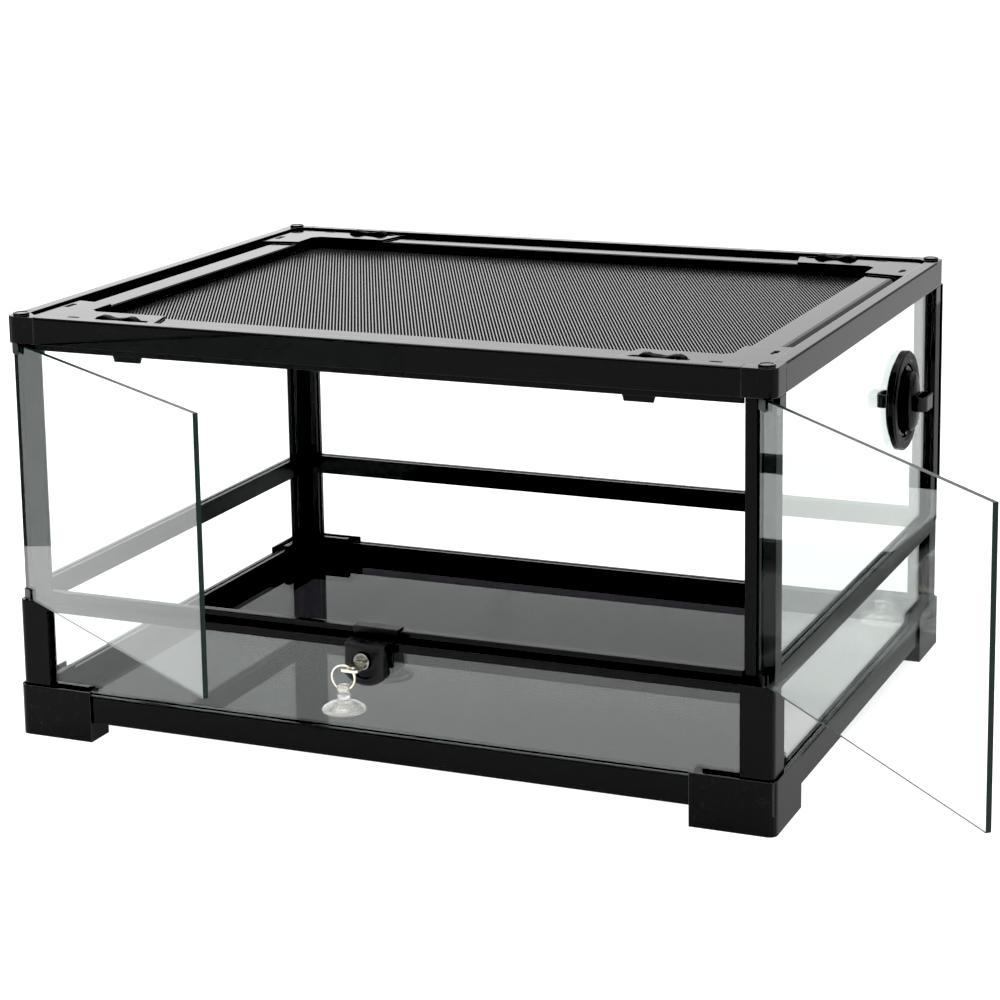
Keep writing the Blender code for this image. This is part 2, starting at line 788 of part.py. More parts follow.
front_face = FRONT - LOCK_BASE_THICK
strip_low, strip_high = POST_TOP + FIT, POST_TOP + FIT + STRIP_THICK
saddle_top, saddle_front = UPSTAND_TOP + FIT + SADDLE_THICK, FRONT + SADDLE_FRONT
saddle_back = FRONT + UPSTAND_BACK + FIT
saddle_end = saddle_top - SADDLE_BACK_DROP
rib_low, rib_high = strip_high + 0.0008, strip_high + 0.0018
base_section = [
    (front_face, LOCK_TOP - LOCK_BASE_DROP),
    (FRONT - FIT, LOCK_TOP - LOCK_BASE_DROP),
    (FRONT - FIT, strip_low),
    (FRONT + UPSTAND_FRONT - FIT, strip_low),
    (FRONT + UPSTAND_FRONT - FIT, UPSTAND_TOP + FIT),
    (saddle_back, UPSTAND_TOP + FIT),
    (saddle_back, saddle_end),
    (saddle_back + SADDLE_THICK, saddle_end),
    (saddle_back + SADDLE_THICK, saddle_top - 0.0005),
    (saddle_back + SADDLE_THICK - 0.0005, saddle_top),
    (saddle_front + 0.0005, saddle_top),
    (saddle_front, saddle_top - 0.0005),
    (saddle_front, rib_high),
    (saddle_front + SADDLE_RIB, rib_high),
    (saddle_front + SADDLE_RIB, rib_low),
    (saddle_front, rib_low),
    (saddle_front, strip_high),
    (front_face, strip_high),
]
base_left = LEFT + LOCK_X - LOCK_BASE_WIDTH / 2
lock_base = add_object(
    "lock_base",
    mesh_from("lock_base", prism(base_section, base_left, base_left + LOCK_BASE_WIDTH, "X")),
    SATIN,
)
guide_low = LOCK_TOP - LOCK_BASE_DROP + 0.0005
join(lock_base, "guide", prism(dovetail(0, front_face + 0.0005, FRONT - 0.0072), guide_low, LOCK_TOP - 0.0003))

lock_slide = add_object(
    "lock_slide",
    mesh_from(
        "lock_slide",
        stacked(
            [
                (lock_outline(0), FRONT - LOCK_REAR),
                (lock_outline(0), FRONT - LOCK_FRONT + LOCK_CHAMFER),
                (lock_outline(LOCK_CHAMFER * 0.35), FRONT - LOCK_FRONT + LOCK_CHAMFER * 0.3),
                (lock_outline(LOCK_CHAMFER), FRONT - LOCK_FRONT),
            ]
        ),
    ),
    SATIN,
)
channel = dovetail(FIT, FRONT - LOCK_REAR + 0.0010, FRONT - 0.0075)
cut(lock_slide, "guide_channel", prism(channel, guide_low - LOCK_TRAVEL - FIT, LOCK_TOP + 0.01))
dish = arc((LEFT + BARREL_X + DISH_ASIDE, BARREL_Z - DISH_BELOW), DISH_RADIUS, 0, 360 - 15, 23)
cut(lock_slide, "dish", prism(dish, FRONT - LOCK_FRONT - 0.01, FRONT - LOCK_FRONT + 0.0008, "Y"))
bore = arc((LEFT + BARREL_X, BARREL_Z), BARREL_RADIUS + 0.0004, 0, 360 - 15, 23)
cut(lock_slide, "barrel_bore", prism(bore, FRONT - LOCK_FRONT - 0.01, FRONT - BARREL_REAR + FIT, "Y"))
mark_left, mark_low = LEFT + BARREL_X + MARK_ASIDE, BARREL_Z + MARK_ABOVE
mark = rounded_box(mark_left, mark_low, mark_left + MARK_WIDTH, mark_low + MARK_TALL, 0.0006, 2)
cut(lock_slide, "mark", prism(mark, FRONT - LOCK_FRONT - 0.01, FRONT - LOCK_FRONT + 0.0008, "Y"))

barrel_profile = [
    (0, -BARREL_REAR),
    (BARREL_RADIUS, -BARREL_REAR),
    (BARREL_RADIUS, -BARREL_FRONT + 0.0007),
    (BARREL_RADIUS - 0.0007, -BARREL_FRONT),
    (BARREL_RADIUS - 0.0019, -BARREL_FRONT),
    (BARREL_RADIUS - 0.0024, -BARREL_FRONT + 0.0006),
    (0, -BARREL_FRONT + 0.0006),
]
barrel = add_object("lock_barrel", mesh_from("lock_barrel", revolve(barrel_profile, 24, "Y"), 35), DARK_METAL)
barrel.location = (LEFT + BARREL_X, FRONT, BARREL_Z)
wide, tall = KEYWAY_WIDTH / 2, KEYWAY_TALL / 2
keyway = [(-wide, -tall), (wide, -tall), (wide, tall), (-wide, tall)]
cut(barrel, "keyway", prism(keyway, -BARREL_FRONT - 0.01, -BARREL_FRONT + 0.0052, "Y"))


def key_outline():
    """The key from above: blade, neck and a rounded bow, measured from the tank's left front edge."""
    corners = 0.0030
    bow = arc((BOW_LEFT + corners, -KEY_END + corners), corners, 180, 270, 4)
    bow += arc((BOW_RIGHT - corners, -KEY_END + corners), corners, 270, 360, 4)
    bow += arc((BOW_RIGHT - corners, -KEY_NECK - corners), corners, 0, 90, 3)
    neck, blade = 0.0030, 0.0026
    bow += [(BARREL_X + neck, -KEY_NECK), (BARREL_X + neck, -BARREL_FRONT - FIT)]
    bow += [(BARREL_X + blade, -BARREL_FRONT - FIT), (BARREL_X + blade, -BARREL_FRONT + 0.0045)]
    bow += [(BARREL_X - blade, -BARREL_FRONT + 0.0045), (BARREL_X - blade, -BARREL_FRONT - FIT)]
    bow += [(BARREL_X - neck, -BARREL_FRONT - FIT), (BARREL_X - neck, -KEY_NECK)]
    bow += arc((BOW_LEFT + corners, -KEY_NECK - corners), corners, 90, 180, 3)[1:]
    return [(LEFT + x, FRONT + y) for x, y in bow]


key_low, key_high = BARREL_Z - KEY_THICK / 2, BARREL_Z + KEY_THICK / 2
key = add_object("key", mesh_from("key", prism(key_outline(), key_low, key_high)), STEEL)
bow_hole = arc((LEFT + BOW_HOLE_X, FRONT - RING_BACK), BOW_HOLE, 0, 360 - 22.5, 15)
cut(key, "bow_hole", prism(bow_hole, key_low - 0.01, key_high + 0.01))

# Key ring and its suction cup, and the second cup on the base glass

ring_z = key_high + RING_OVER_KEY - RING_RADIUS
ring_section = [
    (RING_RADIUS + RING_WIRE, -0.0007),
    (RING_RADIUS + RING_WIRE * 0.6, 0.0),
    (RING_RADIUS + RING_WIRE, 0.0007),
    (RING_RADIUS - RING_WIRE, 0.0007),
    (RING_RADIUS - RING_WIRE * 0.6, 0.0),
    (RING_RADIUS - RING_WIRE, -0.0007),
]
key_ring = add_object("key_ring", mesh_from("key_ring", revolve(ring_section, 36, "Y"), 40), STEEL)
key_ring.location = (LEFT + RING_X, FRONT - RING_BACK, ring_z)


def suction_cup(name, location, with_eye):
    """A clear flared cup, its rim at the bottom and its neck on top."""
    tall, neck, rim = CUP_HEIGHT, CUP_NECK, CUP_RADIUS
    profile = [
        (0, tall),
        (neck - 0.0009, tall),
        (neck - 0.0001, tall - 0.0008),
        (neck, tall - 0.0036),
        (neck - 0.0008, tall - 0.0044),
        (neck - 0.0008, tall - 0.0058),
        (neck, tall - 0.0065),
        (neck + 0.0001, tall - 0.0078),
        (neck - 0.0006, tall - 0.0086),
        (neck + 0.0002, tall - 0.0105),
        (neck + 0.0018, tall - 0.0120),
        (rim * 0.72, 0.0049),
        (rim * 0.93, 0.0026),
        (rim, 0.0012),
        (rim - 0.0003, 0),
        (rim - 0.0012, 0),
        (rim * 0.72, 0.0020),
        (rim * 0.36, 0.0036),
        (0, 0.0041),
    ]
    cup = add_object(name, mesh_from(name, revolve(profile, 32), 35), CLEAR_RUBBER)
    cup.location = location
    if with_eye:
        eye = rounded_box(-0.0015, tall - 0.0046, 0.0015, tall - 0.0009, 0.0011, 2)
        cut(cup, "eye", prism(eye, -0.01, 0.01, "X"))
    return cup


ring_bottom = ring_z - RING_RADIUS
suction_cup("ring_cup", (LEFT + RING_X, FRONT - RING_BACK, ring_bottom - CUP_HEIGHT + CUP_HANG), True)
spare_place = (RIGHT - SPARE_CUP_FROM_RIGHT, BACK - SPARE_CUP_FROM_BACK, BASE_GLASS_TOP + FIT)
suction_cup("spare_cup", spare_place, False)

# Screen lid

LID_BOTTOM = SEAT_LEVEL + FIT
LID_TOP = LID_BOTTOM + LID_TALL
LID_INSET = RIM_WIDTH + LID_GAP
slot_low = SCREEN_RISE - FIT
slot_high = SCREEN_RISE + SCREEN_THICK + FIT
lid_section = [
    (0, 0),
    (LID_RAIL, 0),
    (LID_RAIL, slot_low),
    (LID_RAIL - SCREEN_SLOT, slot_low),
    (LID_RAIL - SCREEN_SLOT, slot_high),
    (LID_RAIL, slot_high),
    (LID_RAIL, LID_TALL - 0.0010),
    (LID_RAIL - 0.0010, LID_TALL),
    (LID_FLANK + 0.0025, LID_TALL),
    (LID_FLANK, LID_TALL - 0.0005),
    (LID_FLANK - 0.0035, LID_TALL - 0.0022),
    (0, LID_TALL - 0.0068),
]


def looped(section, inset, base):
    """A builder that carries a section around the tank's rectangle, with mitred corners."""

    def build(work):
        rings = []
        for x, y, sx, sy in ((LEFT, FRONT, 1, 1), (RIGHT, FRONT, -1, 1), (RIGHT, BACK, -1, -1), (LEFT, BACK, 1, -1)):
            rings.append(
                [work.verts.new((x + sx * (inset + p[0]), y + sy * (inset + p[0]), base + p[1])) for p in section]
            )
        for k in range(4):
            first, second = rings[k], rings[(k + 1) % 4]
            for i in range(len(section)):
                j = (i + 1) % len(section)
                work.faces.new((first[i], first[j], second[j], second[i]))

    return build


def several(builders):
    """A builder that runs others in one mesh. Their shapes stay apart."""

    def build(work):
        for one in builders:
            one(work)

    return build


def lid_corners(shape):
    """One builder for the same outline at the lid's four corners, from prisms given at the front left."""
    builders = []
    for x, y, sx, sy in ((LEFT, FRONT, 1, 1), (RIGHT, FRONT, -1, 1), (RIGHT, BACK, -1, -1), (LEFT, BACK, 1, -1)):
        for outline, low, high in shape:
            builders.append(prism([(x + sx * p[0], y + sy * p[1]) for p in outline], low, high))
    return several(builders)


lid_frame = add_object("lid_frame", mesh_from("lid_frame", looped(lid_section, LID_INSET, LID_BOTTOM)), BLACK)
plate_near, plate_far = LID_INSET + 0.0004, LID_INSET + LID_RAIL + 0.0009
plate_top = LID_TOP + PLATE_RISE
plate = [
    (plate_near, plate_near),
    (PLATE_LONG, plate_near),
    (PLATE_LONG - 0.0080, plate_far),
    (plate_far + 0.0060, plate_far),
    (plate_far, plate_far + 0.0060),
    (plate_far, PLATE_SHORT - 0.0060),
    (plate_near, PLATE_SHORT),
]
join(lid_frame, "plates", lid_corners([(plate, LID_BOTTOM + slot_high + 0.0012, plate_top)]))
clear = 2 * LID_INSET + 0.0078
recess_y = plate_near + RECESS_IN
recess_end = RECESS_START + RECESS_LENGTH
half = RECESS_WIDTH / 2
hollows = [
    ([(0, 0), (clear, 0), (0, clear)], LID_BOTTOM - 0.01, plate_top + 0.01),
    (
        rounded_box(RECESS_START, recess_y - half, recess_end, recess_y + half, half - 0.0002, 4),
        plate_top - RECESS_DEEP,
        plate_top + 0.01,
    ),
]
aside = DIMPLE_WIDTH / 2
dimples = [(start, recess_y - aside, start + DIMPLE_LENGTH, recess_y + aside) for start in DIMPLE_STARTS]
dimples.append((recess_y - aside, NOTCH_START, recess_y + aside, NOTCH_END))
for dimple in dimples:
    hollows.append((rounded_box(*dimple, aside - 0.0002), plate_top - DIMPLE_DEEP, plate_top + 0.01))
cut(lid_frame, "hollows", lid_corners(hollows))

latch_floor = plate_top - RECESS_DEEP + FIT
for corner in CORNERS:
    sx = 1 if corner.endswith("left") else -1
    sy = 1 if corner.startswith("front") else -1
    x = LEFT if sx > 0 else RIGHT
    y = FRONT if sy > 0 else BACK
    start, stop = RECESS_START + FIT, RECESS_START + FIT + LATCH_LENGTH
    wide = half - FIT
    outline = [
        (x + sx * px, y + sy * py)
        for px, py in rounded_box(start, recess_y - wide, stop, recess_y + wide, wide - 0.0006, 4)
    ]
    latch = add_object(
        f"latch_{corner}", mesh_from(f"latch_{corner}", prism(outline, latch_floor, plate_top - 0.0012)), SATIN
    )
    grip = [
        (x + sx * px, y + sy * py)
        for px, py in rounded_box(start + 0.0060, recess_y - 0.0028, start + 0.0120, recess_y + 0.0028, 0.0010, 2)
    ]
    join(latch, "grip", prism(grip, plate_top - 0.0020, plate_top + 0.0004))

screen_edge = LID_INSET + LID_RAIL - SCREEN_SLOT + FIT
hole_edge = LID_INSET + LID_RAIL + 0.0020


def cell_lines(low, high, count):
    """The lines across a lattice: its outer edges and both sides of each gap."""
    first, last = low + hole_edge - screen_edge, high - hole_edge + screen_edge
    pitch = (last - first + SCREEN_WIRE) / count
    lines = [low]
    for i in range(count):
        lines += [first + i * pitch, first + (i + 1) * pitch - SCREEN_WIRE]
    return lines + [high]


def lattice(xs, ys, low, high):
    """A builder for a flat net: a plate with a rectangular gap in every other cell."""

    def build(work):
        levels = [[[work.verts.new((x, y, z)) for y in ys] for x in xs] for z in (low, high)]

        def is_gap(i, j):
            return 0 < i < len(xs) - 2 and 0 < j < len(ys) - 2 and i % 2 == 1 and j % 2 == 1

        def is_open(i, j):
            return not (0 <= i < len(xs) - 1 and 0 <= j < len(ys) - 1) or is_gap(i, j)

        for i in range(len(xs) - 1):
            for j in range(len(ys) - 1):
                if is_gap(i, j):
                    continue
                for level in levels:
                    work.faces.new((level[i][j], level[i + 1][j], level[i + 1][j + 1], level[i][j + 1]))
                walls = (
                    (is_open(i, j - 1), (i, j), (i + 1, j)),
                    (is_open(i + 1, j), (i + 1, j), (i + 1, j + 1)),
                    (is_open(i, j + 1), (i + 1, j + 1), (i, j + 1)),
                    (is_open(i - 1, j), (i, j + 1), (i, j)),
                )
                for needed, (a, b), (c, d) in walls:
                    if needed:
                        work.faces.new((levels[0][a][b], levels[0][c][d], levels[1][c][d], levels[1][a][b]))

    return build


screen_low = LID_BOTTOM + SCREEN_RISE
screen_xs = cell_lines(LEFT + screen_edge, RIGHT - screen_edge, SCREEN_COLUMNS)
screen_ys = cell_lines(FRONT + screen_edge, BACK - screen_edge, SCREEN_ROWS)
add_object(
    "screen",
    mesh_from("screen", lattice(screen_xs, screen_ys, screen_low, screen_low + SCREEN_THICK)),
    SCREEN_BLACK,
)

# Side port, modelled about its own axis from the outer face of the glass

PORT_AT = (RIGHT - PANE_IN, FRONT + PORT_FROM_FRONT, PORT_Z)
inner_face = -GLASS


def at_port(name, build, material, smooth=35):
    obj = add_object(name, mesh_from(name, build, smooth), material)
    obj.location = PORT_AT
    return obj


spigot = PORT_HOLE - 0.0005
flange_profile = [
    (PORT_BORE, inner_face - 0.0026),
    (spigot, inner_face - 0.0026),
    (PORT_HOLE + 0.0010, inner_face - 0.0016),
    (PORT_HOLE + 0.0010, inner_face - FIT),
    (spigot, inner_face - FIT),
    (spigot, FIT),
    (PORT_RADIUS, FIT),
    (PORT_RADIUS, PORT_THICK - 0.0016),
    (PORT_RADIUS - 0.0016, PORT_THICK),
    (PORT_BORE + 0.0028, PORT_THICK),
    (PORT_BORE + 0.0018, PORT_THICK - 0.0014),
    (PORT_BORE, PORT_THICK - 0.0014),
]
flange = at_port("port_flange", revolve(flange_profile, 48, "X"), BLACK)
rivets = []
for k in range(PORT_RIVETS):
    angle = math.tau * (k + 0.5) / PORT_RIVETS
    ring = PORT_RADIUS - 0.0050
    centre = (ring * math.cos(angle), ring * math.sin(angle))
    rivets.append(prism(arc(centre, 0.0013, 0, 360 - 60, 5), PORT_THICK - 0.0014, PORT_THICK + 0.01, "X"))
cut(flange, "rivet_dimples", several(rivets))

plug_edge = PORT_BORE - 0.0005
stem_hole = STEM_RADIUS + FIT + 0.0001
plug_profile = [
    (stem_hole, inner_face - 0.0020),
    (plug_edge - 0.0010, inner_face - 0.0020),
    (plug_edge, inner_face - 0.0010),
    (plug_edge, PORT_THICK - 0.0032),
    (plug_edge - 0.0010, PORT_THICK - 0.0022),
    (plug_edge - 0.0030, PORT_THICK - 0.0022),
    (plug_edge - 0.0042, PORT_THICK - 0.0050),
    (0.0120, 0.0),
    (0.0100, 0.0004),
    (stem_hole, 0.0004),
]
plug = at_port("port_plug", revolve(plug_profile, 48, "X"), SATIN)
lugs = []
for up in (1, -1):
    near, far, side = up * 0.0257, up * (plug_edge - 0.0016), PLUG_LUG / 2
    lug = [(-side, near), (side, near), (side * 0.55, far), (-side * 0.55, far)]
    lugs.append(prism(lug, PORT_THICK - 0.0045, PORT_THICK - 0.0008, "X"))
join(plug, "lugs", several(lugs))

stem_inner = inner_face - 0.0020 - FIT
hub_low = 0.0004 + FIT
grip_profile = [
    (0, -GLASS - STEM_INSIDE),
    (0.0084, -GLASS - STEM_INSIDE),
    (0.0092, -GLASS - STEM_INSIDE + 0.0008),
    (0.0092, stem_inner),
    (STEM_RADIUS, stem_inner),
    (STEM_RADIUS, hub_low),
    (0.0092, hub_low),
    (0.0092, KNOB_BACK + 0.0020),
    (0, KNOB_BACK + 0.0020),
]
grip = at_port("port_grip", revolve(grip_profile, 24, "X"), SATIN)


def knob_outline(share):
    """The turning knob from outside: an oval with full ends, as a share of its own size."""
    outline = []
    for y, z in arc((0.0, 0.0), 1.0, 0, 360 - 12, 29):
        full = (abs(y) ** 2.4 + abs(z) ** 2.4) ** (1 / 2.4)
        outline.append((share * y / full * KNOB_WIDE / 2, share * z / full * KNOB_TALL / 2))
    return outline


def domed(levels):
    """A builder for outlines of equal length stacked along X."""

    def build(work):
        rings = [[work.verts.new((level, *point)) for point in knob_outline(share)] for share, level in levels]
        work.faces.new(rings[0])
        work.faces.new(rings[-1])
        for first, second in zip(rings, rings[1:]):
            for i in range(len(first)):
                j = (i + 1) % len(first)
                work.faces.new((first[i], first[j], second[j], second[i]))

    return build


rise = KNOB_FRONT - KNOB_SHOULDER
knob_levels = [(1.0, KNOB_BACK), (1.0, KNOB_SHOULDER)]
for share, up in ((0.95, 0.34), (0.82, 0.66), (0.62, 0.88), (0.36, 1.0)):
    knob_levels.append((share, KNOB_SHOULDER + rise * up))
join(grip, "knob", domed(knob_levels))


def finger_loop(start, end, length, tall):
    """The outline of a flat ring and of the hole in it, seen from above."""
    wall, turn = GRIP_WALL, (end - start) / 2 - 0.0002
    outer = rounded_box(start, -length / 2, end, length / 2, turn, 5)
    inner = rounded_box(start + wall, -length / 2 + wall, end - wall, length / 2 - wall, turn - wall, 5)
    return prism(outer, -tall / 2, tall / 2), inner


outer_loop, _ = finger_loop(LOOP_START, GRIP_REACH, GRIP_LONG, GRIP_TALL)
join(grip, "loop", outer_loop)
_, finger_hole = finger_loop(KNOB_FRONT + 0.0006 - GRIP_WALL, GRIP_REACH, GRIP_LONG, GRIP_TALL)
cut(grip, "finger_hole", prism(finger_hole, -GRIP_TALL / 2 - 0.0005, GRIP_TALL / 2 + 0.0005))
inner_loop, inner_hole = finger_loop(-GLASS - INNER_REACH, -GLASS - STEM_INSIDE + 0.0012, INNER_LONG, INNER_TALL)
join(grip, "inner_loop", inner_loop)
cut(grip, "inner_hole", prism(inner_hole, -INNER_TALL / 2 - 0.0005, INNER_TALL / 2 + 0.0005))
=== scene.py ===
"""Glass terrarium with black rails, open glass doors, a screen lid, a key lock and a side port."""

import math

import bmesh
import bpy
from mathutils import Matrix, Vector


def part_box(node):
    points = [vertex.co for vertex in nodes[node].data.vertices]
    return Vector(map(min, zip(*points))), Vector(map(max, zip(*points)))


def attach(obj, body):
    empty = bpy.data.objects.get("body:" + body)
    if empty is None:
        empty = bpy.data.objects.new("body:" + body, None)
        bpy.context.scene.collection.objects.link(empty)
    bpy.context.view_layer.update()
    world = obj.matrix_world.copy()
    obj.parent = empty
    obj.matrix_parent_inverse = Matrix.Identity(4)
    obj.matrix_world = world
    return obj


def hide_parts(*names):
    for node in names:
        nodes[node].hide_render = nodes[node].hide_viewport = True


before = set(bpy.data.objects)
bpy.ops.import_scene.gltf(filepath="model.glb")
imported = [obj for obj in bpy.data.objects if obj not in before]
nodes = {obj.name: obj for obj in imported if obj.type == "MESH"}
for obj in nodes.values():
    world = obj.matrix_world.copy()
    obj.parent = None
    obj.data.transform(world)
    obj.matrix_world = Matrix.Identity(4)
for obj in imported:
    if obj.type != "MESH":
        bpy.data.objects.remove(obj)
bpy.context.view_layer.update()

# Camera
# The tank is seen from the front right and a little above, through a long lens.
# The lens is shifted down a little, as on a camera held nearly level, so the posts stay upright.
YAW, PITCH, ROLL = math.radians(-23.071), math.radians(11.0), math.radians(0.845)
FOCAL_PIXELS = 2639
IMAGE_PIXELS = 1000
forward = Vector((math.sin(YAW) * math.cos(PITCH), math.cos(YAW) * math.cos(PITCH), -math.sin(PITCH)))
level_right = Vector((math.cos(YAW), -math.sin(YAW), 0.0))
level_down = forward.cross(level_right)
image_right = math.cos(ROLL) * level_right + math.sin(ROLL) * level_down
image_down = math.cos(ROLL) * level_down - math.sin(ROLL) * level_right
lens = bpy.data.cameras.new("photo_lens")
lens.sensor_width = 36.0
lens.lens = FOCAL_PIXELS * lens.sensor_width / IMAGE_PIXELS
lens.shift_y = -0.171
lens.clip_start, lens.clip_end = 0.05, 200.0
camera = bpy.data.objects.new("photo_camera", lens)
bpy.context.scene.collection.objects.link(camera)
turn = Matrix((image_right, -image_down, -forward)).transposed().to_4x4()
camera.matrix_world = Matrix.Translation((1.1163, -1.6924, 0.7055)) @ turn
bpy.context.scene.camera = camera

# Feet, bottom rails, posts, belt rails, sill, top rails and corners
# All are gloss black PVC: the rails and posts are extruded and cut to length, the feet and
# corners are injection moulded and push over them.

CORNERS = ("front_left", "front_right", "back_right", "back_left")
SIDES = ("front", "right", "back", "left")

class Number:
    """The output of a node, so that masks are worked out in plain Python."""

    def __init__(self, finish, socket):
        self.finish, self.socket = finish, socket

    def maths(self, operation, first, second):
        return self.finish.node("Math", {"operation": operation}, {0: first, 1: second})

    def __add__(self, other):
        return self.maths("ADD", self, other)

    def __sub__(self, other):
        return self.maths("SUBTRACT", self, other)

    def __rsub__(self, other):
        return self.maths("SUBTRACT", other, self)

    def __mul__(self, other):
        return self.maths("MULTIPLY", self, other)

    def __pow__(self, other):
        return self.maths("POWER", self, other)

    __radd__, __rmul__ = __add__, __mul__


class Finish:
    """One surface finish: a material whose shader starts from plain values and takes nodes."""

    def __init__(self, name, plain):
        self.material = bpy.data.materials.new(name)
        self.material.use_nodes = True
        self.tree = self.material.node_tree
        self.shader = self.tree.nodes["Principled BSDF"]
        self.set_sockets(self.shader, plain)

    def set_sockets(self, node, values):
        for key, value in values.items():
            socket = node.inputs[key]
            if isinstance(value, Number):
                self.tree.links.new(value.socket, socket)
            elif socket.type == "RGBA":
                socket.default_value = (*value, 1.0)
            else:
                socket.default_value = value

    def node(self, kind, settings=None, sockets=None, output=0):
        made = self.tree.nodes.new("ShaderNode" + kind)
        for setting, value in (settings or {}).items():
            if setting == "stops":
                while len(made.color_ramp.elements) < len(value):
                    made.color_ramp.elements.new(1.0)
                for element, (at, shade) in zip(made.color_ramp.elements, value):
                    element.position = at
                    element.color = (*shade, 1.0) if isinstance(shade, tuple) else (shade, shade, shade, 1.0)
            else:
                setattr(made, setting, value)
        self.set_sockets(made, sockets or {})
        return Number(self, made.outputs[output])

    def place(self, stretch=(1, 1, 1)):
        """The point on the piece in metres, stretched along the axes."""
        spot = self.node("NewGeometry", output="Position")
        return self.node("Mapping", {}, {"Vector": spot, "Scale": stretch})

    def noise(self, size, stretch=(1, 1, 1), detail=3.0, roughness=0.5):
        """Soft noise whose patches are about this many metres across."""
        sockets = {"Scale": 1.0 / size, "Detail": detail, "Roughness": roughness}
        return self.node("TexNoise", {}, {"Vector": self.place(stretch), **sockets})

    def fade(self, value, low, high, to_low=0.0, to_high=1.0):
        sockets = {"Value": value, "From Min": low, "From Max": high, "To Min": to_low, "To Max": to_high}
        return self.node("MapRange", {"clamp": True}, sockets)

    def blend(self, share, first, second):
        """A colour between two others."""
        made = self.tree.nodes.new("ShaderNodeMix")
        made.data_type = "RGBA"
        self.set_sockets(made, {0: share, 6: first, 7: second})
        return Number(self, made.outputs[2])

    def bump(self, height, distance, strength=1.0, over=None):
        sockets = {"Height": height, "Distance": distance, "Strength": strength}
        if over:
            sockets["Normal"] = over
        return self.node("Bump", {}, sockets)

    def use(self, values):
        self.set_sockets(self.shader, values)

    def cover(self, share, other):
        """Lays another shader over this one where the share is 1."""
        end = self.tree.nodes["Material Output"].inputs["Surface"]
        below = Number(self, end.links[0].from_socket)
        mixed = self.node("MixShader", {}, {0: share, 1: below, 2: other})
        self.tree.links.new(mixed.socket, end)

    def paint(self, *names):
        """Puts this finish on CAD nodes."""
        for name in names:
            mesh = nodes[name].data
            mesh.materials.clear()
            mesh.materials.append(self.material)


DEEP_BLACK = (0.0035, 0.0034, 0.0038)
# Dull black of the painted shade on the side faces.
SHADED_SIDE_BLACK = (0.020, 0.0195, 0.020)
EDGE_RADIUS = 0.0011
LID_SEAM_Z = 0.300
SEAM_FADE = 0.002
# How much of the side faces that painted shade covers.
SIDE_SHADE_SHARE = 0.85


def gloss_black(name, streak, edge_highlight_and_scuff_tone=0.030):
    """Polished black PVC. The streak stretches its texture along the length of the piece. The edge tone
    colours the painted edge highlights and the scuffs.
    """
    finish = Finish(name, {"Specular IOR Level": 0.17, "IOR": 1.45})
    haze = finish.noise(0.030, streak, 4.0)
    grain = finish.noise(0.0016, streak, 2.0)
    scuffs = finish.fade(finish.noise(0.011, streak, 6.0, 0.7), 0.58, 0.74)
    normal = finish.node("NewGeometry", output="Normal")
    rounded = finish.node("Bevel", {"samples": 6}, {"Radius": EDGE_RADIUS})
    edge = 1 - finish.node("VectorMath", {"operation": "DOT_PRODUCT"}, {0: rounded, 1: normal}, "Value")
    # The rounded edges are painted lighter, towards the edge tone, and made a little rougher: a painted
    # highlight line along every edge. The scuffs are random wear.
    painted_edge_highlight = finish.fade(edge, 0.02, 0.20)
    wave = finish.noise(0.060, streak, 1.0)
    surface = finish.bump(wave, 0.0006, 0.15, rounded)
    surface = finish.bump(grain, 0.00002, 0.2, surface)
    finish.use(
        {
            "Base Color": finish.blend(painted_edge_highlight * 0.7 + scuffs * 0.06, DEEP_BLACK, (edge_highlight_and_scuff_tone,) * 3),
            "Roughness": 0.06 + haze * 0.06 + scuffs * 0.04 + painted_edge_highlight * 0.10,
            "Normal": surface,
        }
    )
    # Faces turned towards ±X below the lid seam are mostly covered by a dull black that barely reflects:
    # painted shade that keeps those sides dark.
    side_shade_mask = finish.fade(finish.node("SeparateXYZ", {}, {0: normal}, "X") ** 2, 0.6, 0.95)
    level = finish.node("SeparateXYZ", {}, {0: finish.place()}, "Z")
    below_lid = finish.fade(level, LID_SEAM_Z - SEAM_FADE, LID_SEAM_Z + SEAM_FADE, 1.0, 0.0)
    shaded_side_shader = finish.node(
        "BsdfPrincipled",
        {},
        {"Base Color": SHADED_SIDE_BLACK, "Roughness": 0.45, "Specular IOR Level": 0.03},
    )
    finish.cover(side_shade_mask * below_lid * SIDE_SHADE_SHARE, shaded_side_shader)
    return finish


along_x = gloss_black("gloss_black_along_x", (0.06, 1, 1))
along_y = gloss_black("gloss_black_along_y", (1, 0.06, 1))
upright = gloss_black("gloss_black_upright", (1, 1, 0.06))
# The moulded feet, corners, lid frame and port flange get a lighter tone for their painted edge highlights
# and scuffs.
moulded = gloss_black("gloss_black_moulded", (1, 1, 1), 0.110)
for side in SIDES:
    finish = along_x if side in ("front", "back") else along_y
    middle_rail = "front_sill" if side == "front" else f"belt_rail_{side}"
    finish.paint(f"bottom_rail_{side}", f"top_rail_{side}", middle_rail)
for corner in CORNERS:
    upright.paint(f"lower_post_{corner}", f"upper_post_{corner}")
    moulded.paint(f"foot_{corner}", f"top_corner_{corner}")

# Glass panes and doors
# Float glass 4 mm thick with ground edges. The panes stand in the slots of the rails and posts,
# the base lies on the bottom rails' lip, and the doors turn in clips.


def sheet_glass(name, tint, shade, plain):
    """Polished sheet glass. It lets most of the light through to what it stands over."""
    finish = Finish(name, {"Transmission Weight": 1.0, "Base Color": tint, **plain})
    smear = finish.fade(finish.noise(0.070, (1, 1, 1), 5.0, 0.6), 0.55, 0.80)
    finish.use({"Roughness": smear * 0.012})
    clear_film = finish.node("BsdfTransparent", {}, {"Color": shade})
    finish.cover(finish.node("LightPath", output="Is Shadow Ray"), clear_film)
    return finish


